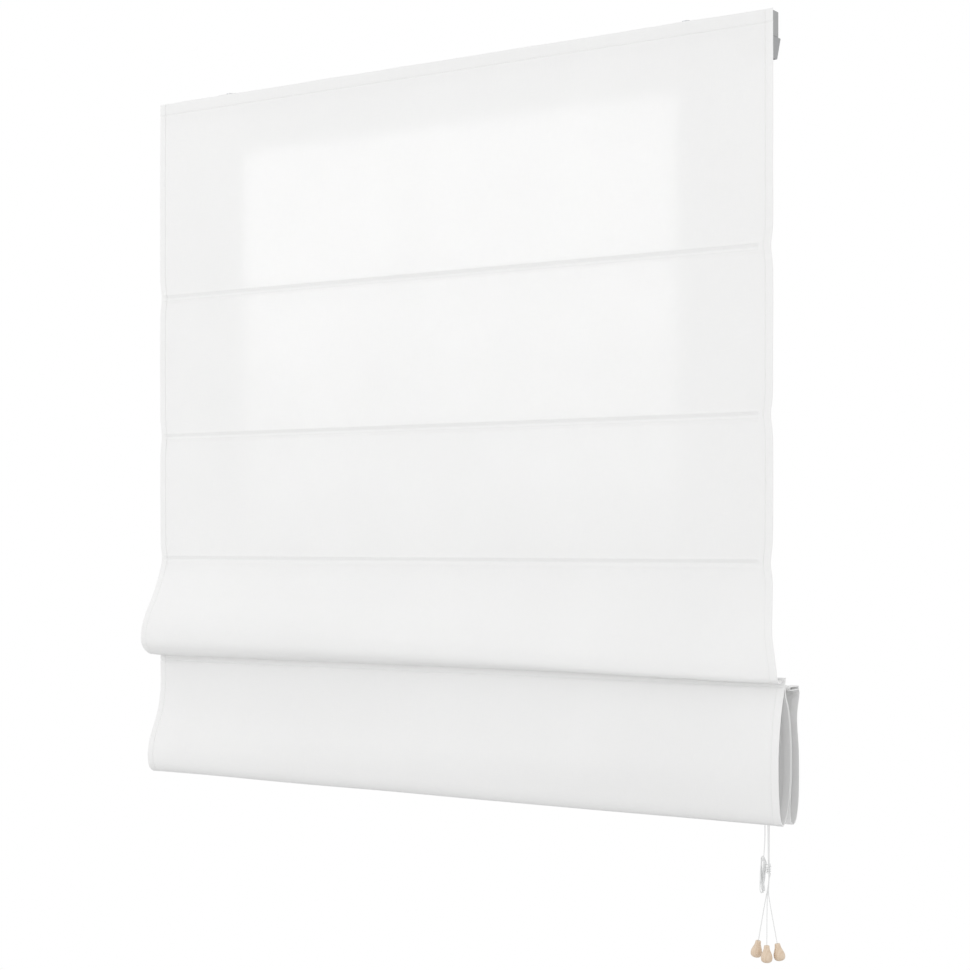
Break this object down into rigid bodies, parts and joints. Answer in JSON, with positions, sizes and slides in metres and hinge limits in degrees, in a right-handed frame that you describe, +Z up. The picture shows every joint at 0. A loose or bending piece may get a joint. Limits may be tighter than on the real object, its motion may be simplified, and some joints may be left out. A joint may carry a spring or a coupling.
{
  "type": "roman blind",
  "caption": "White corded roman blind, partly raised: cloth panel with rod pockets, stacked folds, grey headrail with cord lock, and pull cords with wooden acorns.",
  "frame": {"origin": "centre of the pattern of the four bracket screw holes, on the wall plane", "axes": "+Z up, the front of the cloth faces -Y, the wall is the plane y = 0, X runs along the headrail"},
  "size_m": [1.22, 0.1248, 1.421],
  "materials": {
    "rail_metal": "satin grey",
    "grey_plastic": "matte grey",
    "bracket_metal": "white powder coat",
    "cam_metal": "zinc plated",
    "heading_tape": "hook and loop tape",
    "white_plastic": "moulded",
    "pin_steel": "ground",
    "lock_metal": "satin grey",
    "cotton_cloth": "plain weave, white",
    "rod_plastic": "fibre-filled, white",
    "ring_plastic": "clear to white",
    "bar_aluminium": "mill finish",
    "cord_cotton": "braided, white",
    "beech_wood": "turned, waxed"
  },
  "bodies": {
    "root": {"headrail": "rail_metal", "end_cap_left": "grey_plastic", "end_cap_right": "grey_plastic", "wall_bracket_left": "bracket_metal", "wall_bracket_right": "bracket_metal", "hook_tape": "heading_tape", "loop_tape": "heading_tape", "cord_guide_1": "white_plastic", "rail_cord_1": "cord_cotton", "lift_cord_1": "cord_cotton", "pull_cord_1": "cord_cotton", "cord_guide_2": "white_plastic", "rail_cord_2": "cord_cotton", "lift_cord_2": "cord_cotton", "pull_cord_2": "cord_cotton", "cord_guide_3": "white_plastic", "rail_cord_3": "cord_cotton", "lift_cord_3": "cord_cotton", "pull_cord_3": "cord_cotton", "pulley_axles": "pin_steel", "lock_housing": "lock_metal", "upper_cloth": "cotton_cloth", "bulge_cloth": "cotton_cloth", "rod_1": "rod_plastic", "rings_1": "ring_plastic", "rod_2": "rod_plastic", "rings_2": "ring_plastic", "rod_3": "rod_plastic", "rings_3": "ring_plastic", "rod_tips_upper": "white_plastic"},
    "stack": {"stack_cloth": "cotton_cloth", "rod_4": "rod_plastic", "rod_5": "rod_plastic", "rings_4": "ring_plastic", "rings_5": "ring_plastic", "bar_rings": "ring_plastic", "rod_tips_stack": "white_plastic", "bottom_bar": "bar_aluminium", "bar_caps": "white_plastic", "cord_beads": "ring_plastic"},
    "pulls": {"cord_hank": "cord_cotton", "cord_knot": "cord_cotton", "acorn_1": "beech_wood", "acorn_2": "beech_wood", "acorn_3": "beech_wood", "acorn_cord_1": "cord_cotton", "acorn_cord_2": "cord_cotton", "acorn_cord_3": "cord_cotton"},
    "cam_left": {"swivel_cam_left": "cam_metal"},
    "cam_right": {"swivel_cam_right": "cam_metal"},
    "roller": {"lock_roller": "pin_steel"},
    "drum": {"lock_drum": "pin_steel"},
    "wheel_1": {"pulley_wheel_1": "white_plastic"},
    "wheel_2": {"pulley_wheel_2": "white_plastic"},
    "wheel_3": {"pulley_wheel_3": "white_plastic"}
  },
  "joints": [
    {"name": "lift", "type": "slide", "parent": "root", "child": "stack", "axis": [0, 0, 1], "range_m": [0, 0.15], "deforming": ["bulge_cloth", "lift_cord_1", "lift_cord_2", "lift_cord_3"]},
    {"name": "pull_drop", "type": "slide", "parent": "root", "child": "pulls", "axis": [0, 0, -1], "range_m": [0, 0.15], "deforming": ["pull_cord_1", "pull_cord_2", "pull_cord_3"]},
    {"name": "wheel_1_spin", "type": "hinge", "parent": "root", "child": "wheel_1", "pos_m": [-0.4448, -0.072, -0.0046], "axis": [0, 1, 0], "range_deg": [0, 1700]},
    {"name": "wheel_2_spin", "type": "hinge", "parent": "root", "child": "wheel_2", "pos_m": [0.0052, -0.072, -0.0046], "axis": [0, 1, 0], "range_deg": [0, 1700]},
    {"name": "wheel_3_spin", "type": "hinge", "parent": "root", "child": "wheel_3", "pos_m": [0.4552, -0.072, -0.0046], "axis": [0, 1, 0], "range_deg": [0, 1700]},
    {"name": "drum_spin", "type": "hinge", "parent": "root", "child": "drum", "pos_m": [0.5508, -0.072, -0.0046], "axis": [0, 1, 0], "range_deg": [0, 1700]},
    {"name": "cam_left_turn", "type": "hinge", "parent": "root", "child": "cam_left", "pos_m": [-0.45, -0.0792, 0.0225], "axis": [0, 0, 1], "range_deg": [0, 90]},
    {"name": "cam_right_turn", "type": "hinge", "parent": "root", "child": "cam_right", "pos_m": [0.45, -0.0792, 0.0225], "axis": [0, 0, 1], "range_deg": [0, 90]},
    {"name": "roller_slide", "type": "slide", "parent": "root", "child": "roller", "axis": [0.5, 0, 0.866], "range_m": [0, 0.007]}
  ],
  "couplings": [
    {"joint": "pull_drop", "follows": "lift", "ratio": 1},
    {"joint": "wheel_1_spin", "follows": "lift", "rad_per_m": 192.31},
    {"joint": "wheel_2_spin", "follows": "lift", "rad_per_m": 192.31},
    {"joint": "wheel_3_spin", "follows": "lift", "rad_per_m": 192.31},
    {"joint": "drum_spin", "follows": "lift", "rad_per_m": 192.31}
  ]
}
